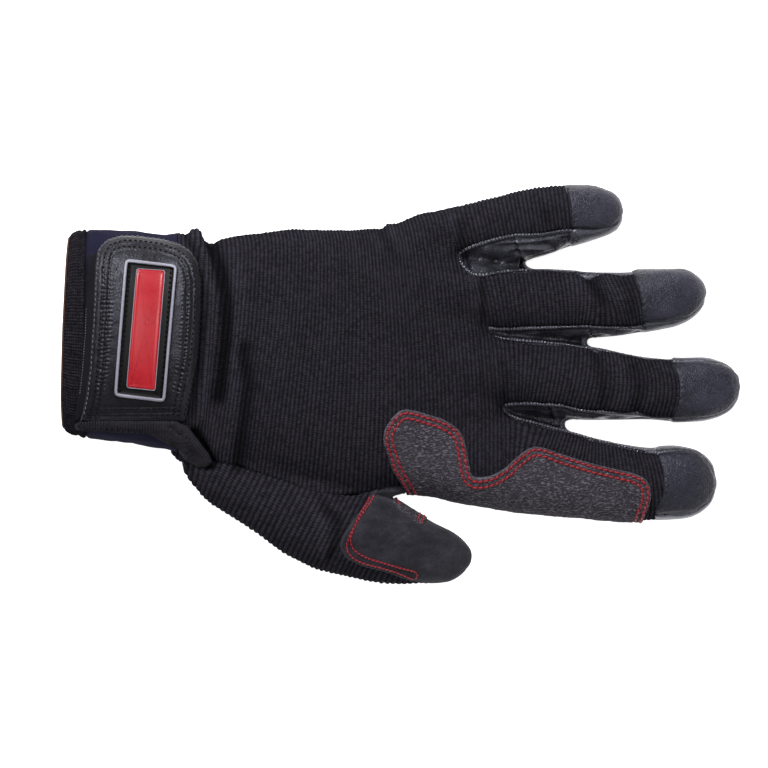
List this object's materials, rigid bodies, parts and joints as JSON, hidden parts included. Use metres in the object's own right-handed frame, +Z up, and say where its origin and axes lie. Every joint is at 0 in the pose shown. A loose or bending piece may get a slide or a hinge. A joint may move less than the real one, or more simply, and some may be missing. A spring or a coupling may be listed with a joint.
{
  "type": "climbing glove",
  "caption": "Left-hand full-finger glove with ribbed knit back, leather palm and finger caps, stitched wear patch, stretch cuff and wrist strap with a badge.",
  "frame": {"origin": "centre of the glove's bounding box in plan, on the surface that it lies on", "axes": "+X along the fingers towards the tips, +Y towards the little finger, -Y towards the thumb, +Z up out of the back of the hand"},
  "size_m": [0.2451, 0.1438, 0.0396],
  "materials": {
    "knit": "black rib knit, matte",
    "leather": "black goat leather, soft sheen",
    "cap_leather": "smooth black leather with a bluish sheen",
    "suede": "dark blue-grey suede",
    "melange": "grey mottled fibre cloth, double red stitching",
    "neoprene": "dark navy stretch cloth over foam",
    "binding": "black knit tape",
    "lining": "brown fleece",
    "strap": "black grained synthetic leather",
    "elastic": "black elastic tape",
    "badge_rubber": "moulded black rubber with a silver rim",
    "badge_red": "glossy red"
  },
  "bodies": {
    "root": {"back_knit": "knit", "thumb_knit": "knit", "palm_leather": "leather", "fourchette_little_ring": "leather", "fourchette_ring_middle": "leather", "fourchette_middle_index": "leather", "cap_little": "cap_leather", "cap_ring": "cap_leather", "cap_middle": "cap_leather", "cap_index": "cap_leather", "thumb_cap": "suede", "thumb_crotch_patch": "melange", "index_patch": "melange", "cuff": "neoprene", "cuff_binding": "binding", "cuff_lining": "lining", "wrist_strap": "strap", "strap_band": "elastic", "badge": "badge_rubber", "badge_field": "badge_red"}
  },
  "joints": []
}
